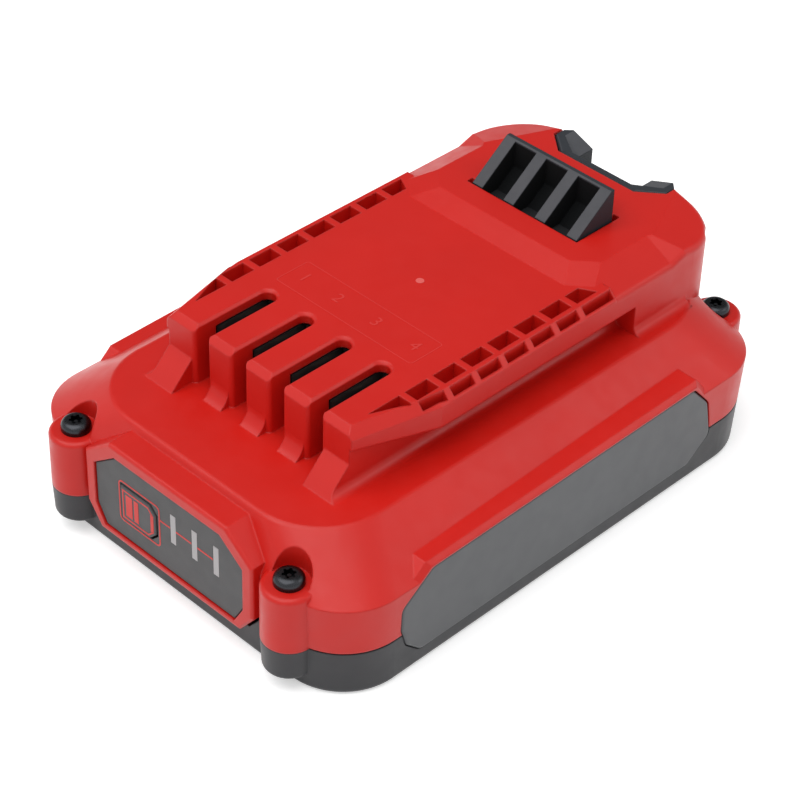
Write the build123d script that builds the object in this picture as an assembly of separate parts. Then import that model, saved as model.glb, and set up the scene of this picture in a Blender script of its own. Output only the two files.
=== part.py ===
from build123d import *
import math
import os

# Slide-on battery pack for a cordless tool: five cells between two case shells, with a rail
# tower and four terminal slots on top, a sprung latch at the rear and a charge gauge in front.
# Millimetres, +Z up, +Y from the gauge to the latch, origin at the bottom centre of the case.

# Overruns and fits
overrun = 5.0                 # how far a cutting body runs past what it cuts
slide_clearance = 0.35        # around pieces that move
seat_clearance = 0.15         # around pieces that drop into a pocket
shadow_gap = 0.3              # dark line between the two shells

# Case outline: bottom, top of the upright wall, deck
case_half_width = 39.3
case_front_room = 6.2         # from the cell holders to the front wall's outside
case_rear_room = 6.3
case_draft = 0.6              # growth of the outline up to the wall top
front_corner_radius = 12.0
rear_corner_radius = 13.0
wall_top = 19.0
split_level = 9.3
shoulder_side = 9.7           # how far the deck's outline lies inside the case outline
shoulder_front = 3.6
shoulder_rear = 3.8
deck_corner_radius = 14.0
deck_level = 27.1
deck_edge_radius = 1.0
bottom_edge_radius = 1.2

# Shell walls
shell_wall = 1.8
floor_wall = 1.6
tongue_height = 1.5
tongue_wall = 0.8
side_wall = 3.2
inner_corner_radius = 10.2

# Screw columns
screw_inset_x = 12.75
screw_inset_y = 0.55
column_radius = 4.8
column_foot_radius = 4.5
column_foot_level = 3.0
column_edge_radius = 0.9
seat_level = 20.6
pocket_radius = 3.75
pocket_wall = 1.2
head_radius = 2.65
head_height = 1.9
head_edge_radius = 1.2
recess_radius = 1.25
recess_depth = 1.2
recess_pin_radius = 0.35
recess_lobes = 6
recess_lobe_radius = 0.3
recess_core_share = 0.72
shank_radius = 1.5
shank_length = 13.0
floor_rib_width = 1.6
floor_rib_height = 3.9
floor_rib_half_length = 24.0
bore_clearance = 0.1

# Rail tower
tower_top = 39.1
tower_front = 35.8
rail_half_width = 26.3
rail_front_half_width = 22.5
rail_taper_end = -19.0        # y where the rail reaches its full width
rail_end = 24.1               # y where the rail top runs into the rear housing
rail_underside = 33.0
rail_lead_in = 2.2            # how much the underside rises at the front
rail_chamfer_width = 1.7
rail_chamfer_height = 1.9
web_half_width = 22.0         # tower wall in the groove under the rail
groove_end = 29.7             # y of the stop wall
web_foot_radius = 1.8
tower_cavity_half_width = 19.9
tower_roof = 2.0
tower_front_wall = 2.2

# Terminal slots and the fingers between them
slot_pitch = 9.2
slot_width = 3.2
slot_rear = -19.1
slot_flare = 0.5              # how far the slot's top edges open out
slot_mouth_radius = 0.8
slot_wall = 1.0               # wall beside a slot, inside the tower's front
slot_wall_gap = 0.4           # between the tower and the terminal block
finger_chamfer = 1.2
inner_foot_reach = 2.0
inner_foot_height = 3.6
outer_foot_reach = 4.8
outer_foot_height = 5.0
foot_hollow_shares = (0.36, 0.32)

# Pockets that core out the rails
pocket_inner_x = 20.9
pocket_outer_x = 23.8
pocket_pitch = 6.47
pocket_length = 5.09
pocket_first_y = -22.3
pocket_depth = 3.6
pocket_count = 6
nose_pocket_front = -30.7
nose_pocket_rear = -23.6
tail_pocket_inner_rear = 20.0
tail_pocket_outer_rear = 21.6
side_pocket_lip = 0.4         # wall left outside a side pocket
side_pocket_width = 1.2
side_pocket_depth = 2.1
side_pocket_count = 7

# Rear housing with its sloped shoulders
housing_top = 40.6
housing_front = 17.5
housing_front_crease = 23.4   # y where the front slope reaches the top
housing_front_foot = 18.7     # y where the front slope leaves the tower top
housing_side_crease = 19.8    # x where the side slope reaches the top
housing_wall_top = 37.3
housing_corner_x = 15.6       # where the front crease turns back
housing_corner_y = 27.2
housing_corner_run = 5.6      # run of the corner slope for the rise of the front slope
housing_fold_y = 39.0         # y where the side slope begins to climb towards the rear
housing_fold_rise = 1.2
housing_fold_run = 3.7
housing_rear = 54.5
housing_rear_radius = 9.5
housing_rear_crease_y = 41.4  # y where the rear corner slope leaves the side crease
housing_rear_crease_x = 14.1  # x where the rear corner slope meets the rear wall
housing_rear_drop = 2.1
housing_rear_run = 7.0
housing_edge_radius = 1.3
housing_foot_end = 44.0       # y where the hollow foot of the housing wall ends
housing_wall = 2.0

# Latch: wedge, carrier plate and thumb tab in one moulding
latch_travel = 6.0
wedge_half_width = 12.6
wedge_rear = 38.1
wedge_toe = 28.7
wedge_top = 47.1
wedge_band = 0.4              # solid band along the top edge
rib_width = 2.4
rib_count = 4
wedge_lip = 0.8               # flat top edge of the wedge
wedge_recess_depth = 4.2
carrier_half_width = 16.0
carrier_thickness = 2.0
carrier_front = 27.4
tab_front = 48.3
tab_front_half_width = 9.0
tab_side_y = 51.8
tab_half_width = 13.4
tab_rear = 55.6
tab_corner = 1.2
tab_top = 40.4
tab_floor = 31.6
tab_edge_radius = 0.6
notch_corner_radius = 1.5
notch_half_width = 7.2
notch_scoop_half_width = 12.0
notch_scoop_level = 38.6       # height of the scooped sides where they meet the notch
notch_scoop_front = 53.0
notch_front = 49.7
notch_floor = 34.0
skirt_rear = 51.6
skirt_thickness = 1.3
skirt_bottom = 24.5
window_relief = 1.4           # small side relief at two corners of the wedge window
spring_x = 10.0
spring_y = 37.2
spring_radius = 2.4
spring_wire = 0.55
spring_turns = 6
spring_post_radius = 1.5
spring_post_height = 2.2

# Gauge on the front
frame_stand = 2.3             # how far the frame stands out of the case
frame_column_gap = 5.6        # from a screw's axis to the frame's side
frame_bottom = 5.6
frame_top = 25.9
frame_half_width_shares = [0.692, 1.0, 1.0, 0.835]
frame_height_shares = [1.0, 0.7635, 0.217, 0.0]
frame_gap = 0.35
frame_edge_radius = 0.7
frame_flap_inset = 2.1
panel_inset = 0.3
gauge_thickness = 1.2
frame_band = 2.55
gauge_bottom = 7.1
gauge_top = 23.5
gauge_edge_radius = 0.25
gauge_half_width_shares = [0.7065, 1.0, 1.0, 0.880]
gauge_height_shares = [1.0, 0.756, 0.2287, 0.0]
button_left = -11.7
button_right = -2.9
button_bottom = 11.5
button_top = 18.7
button_corner = 1.6           # cut corner of the battery outline
button_gap = 0.3
button_travel = 0.5
button_stand = 0.3            # how far the button stands out of the panel
button_stem_radius = 1.6
light_x = 1.3                 # centre of the first light bar
light_pitch = 5.3
light_width = 1.45
light_bottom = 13.7
light_top = 20.0
light_count = 3
gauge_board_thickness = 1.0
gauge_board_inset = 4.9
gauge_board_margin = 0.6
gauge_board_bottom = 9.0
gauge_board_top = 22.0
gauge_peg_margin = 1.9
gauge_boss_radius = 1.6
gauge_peg_radius = 0.8
flange_margin = 0.8           # flange of the button behind the panel
flange_thickness = 0.8
light_bridge_height = 3.0
light_bridge_thickness = 1.0
led_gap = 0.3
led_size = 1.6
led_height = 0.8
switch_size = 3.6
switch_height = 1.6
plunger_radius = 0.9
plunger_height = 0.9
plunger_gap = 0.15            # between the button's stem and the plunger

# Side panels
side_panel_front = -40.7
side_panel_length = 78.4
side_panel_bottom = 3.6
side_panel_height = 17.9
side_panel_length_shares = [0.085, 0.0, 0.0, 0.0166, 0.0587, 0.926, 1.0, 0.978, 0.917]
side_panel_height_shares = [0.95, 0.655, 0.395, 0.172, 0.0, 0.022, 0.261, 0.706, 1.0]
side_panel_corner_radius = 2.0
side_panel_stand = 0.5
side_panel_thickness = 1.9
side_panel_edge_radius = 0.5
brow_border = 1.4             # band of shell round the panel
brow_depth = 6.0              # how far the brow reaches in over the shoulder
brow_edge_bevel = 0.9

# Cells and what holds them
cell_radius = 9.2
cell_end_room = 3.6           # from a cell's end to the side wall
cell_pitch = 18.6
cell_count = 5
cell_floor_gap = 0.1
cell_rim_radius = 0.6
cell_button_radius = 3.4
cell_button_height = 0.5
cell_base_radius = 3.0
holder_reach = 6.5            # how far the holders reach in over the cells
holder_side_gap = 0.3
holder_rim = 1.4
holder_end_wall = 1.2
holder_low_top = 17.3
holder_high_top = 19.3
holder_step = 2.2
holder_grip_clearance = 0.15
holder_floor_gap = 0.1
holder_stop_gap = 0.05
holder_hole_radius = 7.0
valley_rib_width = 2.4
valley_rib_inner_x = 13.5
valley_rib_bottom = 16.0
valley_shares = [-1.5, 0.5]   # valleys that carry board posts, in cell pitches
post_x = 16.0
post_radius = 2.2
peg_radius = 0.9
peg_height = 1.2
arm_bottom = 22.0
arm_thickness = 1.1
arm_inner_x = 5.0
arm_outer_x = 27.5
arm_front = 31.2
arm_rear = 42.8
arm_leg = 1.3

# Strips that join the cells
strip_thickness = 0.3
strip_gap = 0.15
tail_riser_x = 18.5
strip_half_height = 3.6
strip_overlap = 3.4
tail_width = 4.0
tail_gap = 0.1
insulator_thickness = 0.25
insulator_half_length = 40.0
insulator_bottom = 3.0
insulator_top = 16.0

# Main board and what stands on it
board_half_width = 19.0
board_front = -29.4
board_rear = 30.4
board_level = 27.6
board_thickness = 1.6
block_half_width = 18.6
block_front = -30.6
block_rear = -17.4
block_floor = 1.4
clip_width = 2.6
clip_thickness = 0.4
clip_length = 9.0
clip_height = 4.8
clip_pinch = 0.45             # how far each leaf bends in
clip_station_shares = [0.0, 0.2, 0.3, 0.62, 1.0]
clip_pinch_shares = [0.3, 1.0, 1.0, 0.0, 0.0]
mosfet_size = 5.0
mosfet_height = 1.1
mosfet_pitch = 6.6
mosfet_row_y = -8.0
mosfet_count = 4
controller_size = 7.0
controller_height = 1.2
controller_x = -6.0
controller_y = 6.0
controller_leg = 0.9
controller_legs = 6
controller_lift = 0.15
capacitor_radius = 2.5
capacitor_height = 5.4
capacitor_y = 14.5
capacitor_spacing = 6.4
fuse_length = 6.2
fuse_width = 2.6
fuse_height = 2.0
fuse_x = 8.0
fuse_y = 5.0
board_screw_head_radius = 1.9
board_screw_head_height = 1.2
board_screw_radius = 1.0
board_screw_length = 6.0

# Soft and small pieces
foam_width = 8.6
foam_inner_x = 10.5
foam_outer_x = 24.0
ring_thickness = 0.25
ring_outer_radius = 8.4
ring_inner_radius = 4.2
ribbon_width = 6.0
ribbon_thickness = 0.25
ribbon_x = 6.0
ribbon_level = 22.5
thermistor_radius = 1.3
thermistor_length = 3.4
thermistor_lead_radius = 0.3
thermistor_x = -8.0

# Sizes that follow from the ones above
holder_half_length = cell_pitch * (cell_count - 1) / 2 + cell_radius + holder_end_wall
case_front = holder_half_length + case_front_room
case_rear = holder_half_length + case_rear_room
inner_half_width = case_half_width - side_wall
cell_length = 2 * (inner_half_width - cell_end_room)
holder_inner_x = cell_length / 2 - holder_reach
holder_outer_x = inner_half_width - holder_side_gap
holder_step_x = holder_outer_x - holder_step
deck_half_width = case_half_width - shoulder_side
deck_front = case_front - shoulder_front
deck_rear = case_rear - shoulder_rear
screw_x = case_half_width - screw_inset_x
screw_y = case_front - screw_inset_y
side_panel_face = case_half_width + side_panel_stand
side_panel_seat = side_panel_face - side_panel_thickness
frame_face = case_front + frame_stand
frame_half_width = screw_x - frame_column_gap
frame_flap_rear = case_front - frame_flap_inset
panel_face = frame_face - panel_inset
gauge_half_width = frame_half_width - frame_band
gauge_board_face = case_front - gauge_board_inset
gauge_board_half_width = gauge_half_width - gauge_board_margin
gauge_board_screw_x = gauge_board_half_width - gauge_peg_margin
wall_top_half_width = case_half_width + case_draft
cell_axis_level = floor_wall + cell_floor_gap + cell_radius
cell_crown = cell_axis_level + cell_radius
cell_places = [cell_pitch * (i - (cell_count - 1) / 2) for i in range(cell_count)]
slot_places = [slot_pitch * (i - 1.5) for i in range(4)]
light_places = [light_x + light_pitch * i for i in range(light_count)]
screw_places = [(sx * screw_x, sy * screw_y) for sx in (-1, 1) for sy in (-1, 1)]
housing_inner_top = housing_top - housing_wall
carrier_top = housing_inner_top - slide_clearance
carrier_bottom = carrier_top - carrier_thickness
board_top = board_level + board_thickness
block_top = tower_top - tower_roof - slot_wall_gap
tab_window_bottom = tab_floor - latch_travel - slide_clearance
arm_top = arm_bottom + arm_thickness
gauge_seat = panel_face - gauge_thickness
gauge_board_rear = gauge_board_face - gauge_board_thickness
near = overrun / 1000         # tolerance when edges are picked by place


def block(x_range, y_range, z_range):
    """A box between two planes on each axis."""
    (x0, x1), (y0, y1), (z0, z1) = x_range, y_range, z_range
    centre = Pos((x0 + x1) / 2, (y0 + y1) / 2, (z0 + z1) / 2)
    return centre * Box(x1 - x0, y1 - y0, z1 - z0)


def polygon(points):
    return make_face(Polyline(*points, close=True))


def upright_prism(points, bottom, top):
    """A prism along Z from a plan outline."""
    return extrude(Pos(0, 0, bottom) * polygon(points), amount=top - bottom)


def cross_prism(points, x0, x1):
    """A prism along X from an outline in (y, z)."""
    return extrude(Plane.YZ.offset(x0) * polygon(points), amount=x1 - x0)


def long_prism(points, y0, y1):
    """A prism along Y from an outline in (x, z)."""
    return extrude(Plane.XZ.offset(-y1) * polygon(points), amount=y1 - y0)


def rod(x, y, bottom, top, radius):
    return Pos(x, y, (bottom + top) / 2) * Cylinder(radius, top - bottom)


def rod_along_x(y, z, x0, x1, radius):
    place = Pos((x0 + x1) / 2, y, z) * Rot(0, 90, 0)
    return place * Cylinder(radius, x1 - x0)


def rod_along_y(x, z, y0, y1, radius):
    place = Pos(x, (y0 + y1) / 2, z) * Rot(90, 0, 0)
    return place * Cylinder(radius, y1 - y0)


def both_sides(shape):
    """The shape and its mirror image across the centre plane."""
    return shape + mirror(shape, about=Plane.YZ)


def plan_outline(half_width, front, rear, front_radius, rear_radius, level):
    """A rectangle with different corner radii in front and at the rear, at a level."""
    corners = [(-half_width, -front), (half_width, -front), (half_width, rear), (-half_width, rear)]
    face = polygon(corners)
    face = fillet([v for v in face.vertices() if v.Y < 0], front_radius)
    rear_corners = [v for v in face.vertices() if abs(v.Y - rear) < near]
    face = fillet(rear_corners, rear_radius)
    return Pos(0, 0, level) * face


def edges_at_level(shape, level):
    return [e for e in shape.edges()
            if abs(e.bounding_box().min.Z - level) < near and abs(e.bounding_box().max.Z - level) < near]


def above_slope(origin, outward, rise, run):
    """A large block that lies above a plane which falls by rise over run towards outward."""
    length = math.hypot(*outward)
    ux, uy = outward[0] / length, outward[1] / length
    normal = Vector(rise * ux, rise * uy, run)
    size = 4 * case_front
    plane = Plane(origin=origin, x_dir=(-uy, ux, 0), z_dir=normal)
    return plane * Pos(0, 0, size / 2) * Box(size, size, size)


def case_form():
    """Both shells from outside: drafted walls and the shoulder that rises to the deck."""
    foot = plan_outline(case_half_width, case_front, case_rear,
                        front_corner_radius, rear_corner_radius, 0)
    brim = plan_outline(wall_top_half_width, case_front + case_draft, case_rear + case_draft,
                        front_corner_radius, rear_corner_radius, wall_top)
    deck = plan_outline(deck_half_width, deck_front, deck_rear,
                        deck_corner_radius, deck_corner_radius, deck_level)
    form = loft([foot, brim], ruled=True) + loft([brim, deck], ruled=True)
    form = fillet(edges_at_level(form, deck_level), deck_edge_radius)
    return fillet(edges_at_level(form, 0), bottom_edge_radius)


def case_room(inset):
    """The space inside the two shells, drawn in by an inset on every side."""
    half = inner_half_width - inset
    front = case_front - shell_wall - inset
    rear = case_rear - shell_wall - inset
    radii = (inner_corner_radius, rear_corner_radius - shell_wall)
    top = wall_top - inset
    floor = plan_outline(half, front, rear, *radii, floor_wall)
    brim = plan_outline(half, front, rear, *radii, top)
    ceiling = plan_outline(deck_half_width - inset, deck_front - inset,
                           deck_rear - inset,
                           deck_corner_radius, deck_corner_radius, deck_level - shell_wall - inset)
    return loft([floor, brim], ruled=True) + loft([brim, ceiling], ruled=True)


def housing_form(inset, front, bottom):
    """The rear housing as an upright block with its sloped shoulders cut off."""
    rear = housing_rear
    half = rail_half_width - inset
    plan = polygon([(-half, front), (half, front), (half, rear - inset), (-half, rear - inset)])
    plan = fillet([v for v in plan.vertices() if v.Y > front + overrun], housing_rear_radius - inset)
    form = extrude(Pos(0, 0, bottom) * plan, amount=housing_top - inset - bottom)
    front_rise = housing_top - tower_top
    side_rise = housing_top - housing_wall_top
    side_run = rail_half_width - housing_side_crease
    corner = (housing_corner_y - housing_front_crease, housing_corner_x - housing_side_crease)
    rear_corner = (rear - housing_rear_crease_y, housing_side_crease - housing_rear_crease_x)
    slopes = [
        ((0, housing_front_crease), (0, -1), front_rise, housing_front_crease - housing_front_foot)]
    for side in (-1, 1):
        slopes += [
            ((side * housing_corner_x, housing_front_crease), (side * corner[0], corner[1]),
             front_rise, housing_corner_run),
            ((side * housing_side_crease, housing_rear_crease_y), (side * rear_corner[0], rear_corner[1]),
             housing_rear_drop, housing_rear_run)]
    for slope in slopes:
        form -= housing_slope(inset, *slope)
    fold_side, fold_rear = side_rise * housing_fold_run, housing_fold_rise * side_run
    for side in (-1, 1):
        crease = (side * housing_side_crease, housing_fold_y)
        flank = housing_slope(inset, crease, (side, 0), side_rise, side_run)
        climb = housing_slope(inset, crease, (side * fold_side, -fold_rear),
                              math.hypot(fold_side, fold_rear), side_run * housing_fold_run)
        form -= flank & climb
    if inset:
        return form
    walls = [f for f in form.faces() if abs(f.normal_at().Z) < near and f.center().Y > front + near]
    rim = [e for wall in walls for e in wall.edges()
           if housing_wall_top - near < e.center().Z < housing_top - near]
    return fillet(rim, housing_edge_radius)


def housing_slope(inset, place, outward, rise, run):
    """A cutting block above one slope of the housing, lowered by an inset."""
    drop = inset * math.hypot(rise, run) / run
    return above_slope((*place, housing_top - drop), outward, rise, run)


def rail_plan(half_width, front_half_width, front, rear):
    return [(-front_half_width, front), (front_half_width, front), (half_width, rail_taper_end),
            (half_width, rear), (-half_width, rear), (-half_width, rail_taper_end)]


def rail_tower():
    """The tower above the groove: chamfered rails, fingers and the ramped lead-in below."""
    chamfer_foot = tower_top - rail_chamfer_height
    plan = rail_plan(rail_half_width, rail_front_half_width, -tower_front, rail_end)
    body = upright_prism(plan, rail_underside, chamfer_foot)
    top_plan = rail_plan(rail_half_width - rail_chamfer_width, rail_front_half_width - rail_chamfer_width,
                         -tower_front, rail_end)
    lower = Pos(0, 0, chamfer_foot) * polygon(plan)
    upper = Pos(0, 0, tower_top) * polygon(top_plan)
    body += loft([lower, upper], ruled=True)
    lead = [(-tower_front - overrun, rail_underside - overrun), (rail_taper_end, rail_underside - overrun),
            (rail_taper_end, rail_underside), (-tower_front, rail_underside + rail_lead_in),
            (-tower_front - overrun, rail_underside + rail_lead_in)]
    outer = rail_half_width + overrun
    for x0, x1 in ((-outer, -web_half_width), (web_half_width, outer)):
        body -= cross_prism(lead, x0, x1)
    return body - above_slope((0, -tower_front + finger_chamfer, tower_top), (0, -1),
                              finger_chamfer, finger_chamfer)


def slot_outline(x, grow, level):
    """Plan of a terminal slot: round at the rear, with a mouth that opens out at the front."""
    half = slot_width / 2 + grow
    turn = slot_rear - slot_width / 2
    face, mouth = -tower_front, -tower_front + slot_mouth_radius
    wide = half + slot_mouth_radius
    bulge = slot_mouth_radius * math.sqrt(1 / 2)
    left_mouth = ThreePointArc((x - wide, face), (x - wide + bulge, mouth - bulge), (x - half, mouth))
    right_mouth = ThreePointArc((x + half, mouth), (x + wide - bulge, mouth - bulge), (x + wide, face))
    rear = ThreePointArc((x - half, turn), (x, turn + half), (x + half, turn))
    front = Polyline((x + wide, face), (x + wide, face - overrun),
                     (x - wide, face - overrun), (x - wide, face))
    sides = Line((x - half, mouth), (x - half, turn)) + Line((x + half, turn), (x + half, mouth))
    return Pos(0, 0, level) * make_face(left_mouth + right_mouth + rear + front + sides)


def slot_cutters():
    """The four terminal slots, open to the top and the front, with opened-out top edges."""
    cutters = []
    for x in slot_places:
        cutters.append(extrude(slot_outline(x, 0, deck_level), amount=tower_top + overrun - deck_level))
        lower, upper = slot_outline(x, 0, tower_top - slot_flare), slot_outline(x, slot_flare, tower_top)
        cutters.append(loft([lower, upper], ruled=True) + extrude(upper, amount=overrun))
    return cutters


def slot_walls():
    """Room kept for the walls beside the slots, in front of the terminal block."""
    half = slot_width / 2 + slot_wall
    return [block((x - half, x + half), (-tower_front, block_front - slot_wall_gap),
                  (wall_top, tower_top)) for x in slot_places]


def finger_feet():
    """Flared feet where the fingers meet the deck: hollow curves inside, plain ramps outside."""
    feet = []
    inner_width = slot_pitch - slot_width
    for x in (-slot_pitch, 0, slot_pitch):
        face = -tower_front
        toe = (face - inner_foot_reach, deck_level)
        heel = (face, deck_level + inner_foot_height)
        sweep = (face - inner_foot_reach * foot_hollow_shares[0],
                 deck_level + inner_foot_height * foot_hollow_shares[1])
        curve = ThreePointArc(toe, sweep, heel)
        back = (face + shell_wall, deck_level + inner_foot_height)
        under = (face + shell_wall, deck_level - shell_wall / 2)
        front = (face - inner_foot_reach, deck_level - shell_wall / 2)
        outline = curve + Polyline(heel, back, under, front, toe)
        profile = make_face(outline)
        start = x - inner_width / 2
        feet.append(extrude(Plane.YZ.offset(start) * profile, amount=inner_width))
    ramp = [(-tower_front - outer_foot_reach, deck_level), (-tower_front, deck_level + outer_foot_height),
            (-tower_front + shell_wall, deck_level + outer_foot_height),
            (-tower_front + shell_wall, deck_level - shell_wall / 2),
            (-tower_front - outer_foot_reach, deck_level - shell_wall / 2)]
    inner_x = slot_places[-1] + slot_width / 2
    feet.append(both_sides(cross_prism(ramp, inner_x, web_half_width)))
    return feet


def rail_pockets():
    """Square pockets along the rail tops, with a pointed first and a cut-back last one."""
    floor = tower_top - pocket_depth
    top = tower_top + overrun
    pockets = []
    for i in range(pocket_count):
        y = pocket_first_y + pocket_pitch * i
        pockets.append(block((pocket_inner_x, pocket_outer_x), (y, y + pocket_length), (floor, top)))
    nose = [(pocket_inner_x, nose_pocket_front), (pocket_outer_x, nose_pocket_rear),
            (pocket_inner_x, nose_pocket_rear)]
    pockets.append(upright_prism(nose, floor, top))
    last = pocket_first_y + pocket_pitch * pocket_count
    tail = [(pocket_inner_x, last), (pocket_outer_x, last), (pocket_outer_x, tail_pocket_outer_rear),
            (pocket_inner_x, tail_pocket_inner_rear)]
    pockets.append(upright_prism(tail, floor, top))
    side_floor = tower_top - rail_chamfer_height - side_pocket_depth
    for i in range(side_pocket_count):
        y = pocket_first_y + pocket_pitch * i
        rear = rail_end - shadow_gap if i == side_pocket_count - 1 else y + pocket_length
        outer, outer_rear = rail_edge(y) - side_pocket_lip, rail_edge(rear) - side_pocket_lip
        outline = [(outer - side_pocket_width, y), (outer, y), (outer_rear, rear),
                   (outer_rear - side_pocket_width, rear)]
        pockets.append(upright_prism(outline, side_floor, top))
    return both_sides(Compound(pockets))


def rail_edge(y):
    """Half the rail's width at a place along it."""
    if y > rail_taper_end:
        return rail_half_width
    share = (y + tower_front) / (rail_taper_end + tower_front)
    return rail_front_half_width + (rail_half_width - rail_front_half_width) * share


def shares_outline(left, bottom, width, height, x_shares, z_shares):
    return [(left + width * a, bottom + height * b) for a, b in zip(x_shares, z_shares)]


def octagon(half_width, bottom, top, x_shares, z_shares):
    """An eight-sided outline in (x, z), the same on both sides."""
    right = [(half_width * a, bottom + (top - bottom) * b) for a, b in zip(x_shares, z_shares)]
    return right + [(-x, z) for x, z in reversed(right)]


def frame_outline(grow):
    return octagon(frame_half_width + grow, frame_bottom - grow, frame_top + grow,
                   frame_half_width_shares, frame_height_shares)


def panel_pocket_outline(grow):
    return octagon(gauge_half_width + grow, gauge_bottom - grow, gauge_top + grow,
                   gauge_half_width_shares, gauge_height_shares)


def side_outline(grow):
    """Outline of a side panel in (y, z), grown on every side."""
    return shares_outline(side_panel_front - grow, side_panel_bottom - grow,
                          side_panel_length + 2 * grow, side_panel_height + 2 * grow,
                          side_panel_length_shares, side_panel_height_shares)


def side_panel_body(grow, inner, outer):
    face = fillet(polygon(side_outline(grow)).vertices(), side_panel_corner_radius)
    return extrude(Plane.YZ.offset(inner) * face, amount=outer - inner)


def brow():
    """The band of shell that frames a side panel and stands above the shoulder, edge bevelled."""
    inner = wall_top_half_width - brow_depth
    bevel = brow_edge_bevel
    full = side_outline(brow_border)
    narrow = side_outline(brow_border - bevel)
    rings = [[(inner, y, z) for y, z in full],
             [(case_half_width - bevel + case_draft * z / wall_top, y, z) for y, z in full],
             [(case_half_width + case_draft * z / wall_top, y, z) for y, z in narrow]]
    faces = [make_face(Polyline(*ring, close=True)) for ring in rings]
    return loft(faces, ruled=True) & upper_zone()


def upper_zone():
    size = 2 * case_front
    return block((-size, size), (-size, size), (split_level + shadow_gap, size))


def lower_zone():
    size = 2 * case_front
    return block((-size, size), (-size, size), (-size, split_level))


def upper_column(x, y):
    column = rod(x, y, split_level, seat_level, column_radius)
    return fillet(edges_at_level(column, seat_level), column_edge_radius)


def tray_column(x, y):
    """A screw column of the tray, slightly tapered, that ends above the floor it stands beside."""
    height = split_level - column_foot_level
    column = Pos(x, y, column_foot_level + height / 2) * Cone(column_foot_radius, column_radius, height)
    return fillet(edges_at_level(column, column_foot_level), column_edge_radius)


def screw_bores(bottom, top):
    return [rod(x, y, bottom, top, shank_radius + bore_clearance) for x, y in screw_places]


def tongue(clearance):
    """The ring on the tray that slips inside the upper shell and darkens the split."""
    bottom = split_level - tongue_height
    radii = (inner_corner_radius, rear_corner_radius - shell_wall)
    grow = tongue_wall + clearance
    front, rear = case_front - shell_wall, case_rear - shell_wall
    outer = plan_outline(inner_half_width + grow, front + grow, rear + grow, *radii, bottom)
    inner = plan_outline(inner_half_width - clearance, front - clearance, rear - clearance, *radii, bottom)
    ring = extrude(outer, amount=2 * tongue_height + clearance) - extrude(inner, amount=2 * case_front)
    half = frame_half_width + 2 * frame_gap - clearance
    ring -= block((-half, half), (-2 * case_front, -case_front / 2), (0, deck_level))
    for x, y in screw_places:
        ring -= rod(x, y, 0, deck_level, column_radius + seat_clearance - clearance)
    return ring


def frame_body():
    """The red frame round the charge gauge, with a flap that covers the front of the tray."""
    outline = frame_outline(0)
    body = long_prism(outline, -frame_face, -deck_front)
    body = fillet([e for e in body.edges() if abs(e.center().Y + frame_face) < near], frame_edge_radius)
    flap = long_prism(outline, -frame_face, -frame_flap_rear)
    return (body & upper_zone()) + (body & flap)


def gauge_openings():
    """The seat of the gauge panel, and the openings behind it for the button and the light bars."""
    seat = long_prism(panel_pocket_outline(seat_clearance), -frame_face - overrun, -gauge_seat)
    margin = flange_margin + slide_clearance
    button = block((button_left - margin, button_right + margin), (-frame_face, -frame_flap_rear + near),
                   (button_bottom - margin, button_top + margin))
    right = light_places[-1] + light_width / 2
    left = light_places[0] - light_width / 2
    lights = block((left - button_gap, right + button_gap), (-frame_face, -frame_flap_rear + near),
                   (light_bottom - button_gap, light_top + button_gap))
    return [seat, button, lights]


def gauge_bosses():
    z = (gauge_board_bottom + gauge_board_top) / 2
    bosses = []
    for x in (-gauge_board_screw_x, gauge_board_screw_x):
        bosses.append(rod_along_y(x, z, -case_front, -gauge_board_face, gauge_boss_radius))
        bosses.append(rod_along_y(x, z, -gauge_board_face, -gauge_board_rear, gauge_peg_radius))
    return bosses


def hollow_foot(x, front, rear):
    """Concave foot between an upright wall at x and the deck, on the right side."""
    r = web_foot_radius
    strip = block((x, x + r), (front, rear), (deck_level, deck_level + r))
    return strip - rod_along_y(x + r, deck_level + r, front, rear, r)


def tower_room():
    """The hollow inside the tower and the rear housing."""
    half = tower_cavity_half_width
    front = block((-half, half), (-tower_front + tower_front_wall, groove_end),
                  (wall_top, tower_top - tower_roof))
    middle = housing_form(housing_wall, rail_taper_end, wall_top) & block(
        (-half, half), (rail_taper_end, groove_end + housing_wall), (wall_top, housing_top))
    rear = housing_form(housing_wall, groove_end + housing_wall, wall_top)
    return front + middle + rear


def tab_outline(grow):
    front, side, rear = tab_front - grow, tab_side_y, tab_rear
    right = [(tab_front_half_width + grow / 2, front), (tab_half_width + grow, side),
             (tab_half_width + grow, rear)]
    left = [(-x, y) for x, y in reversed(right)]
    return right + left


def latch_windows():
    """Openings in the housing for the wedge and for the thumb tab."""
    half = wedge_half_width + slide_clearance
    front, rear = wedge_toe - slide_clearance, wedge_rear + slide_clearance
    wedge = block((-half, half), (front, rear), (board_top, wedge_top))
    relief = window_relief
    front_relief = block((-half - relief / 2, -half), (front, front + relief), (housing_inner_top, wedge_top))
    rear_relief = block((half - relief, half), (rear, rear + relief), (housing_inner_top, wedge_top))
    points = tab_outline(slide_clearance)
    rim = points[:2] + [(points[2][0], tab_rear + overrun), (points[3][0], tab_rear + overrun)] + points[4:]
    tab = upright_prism(rim, tab_window_bottom, wedge_top)
    return [wedge, front_relief, rear_relief, tab]


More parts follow.
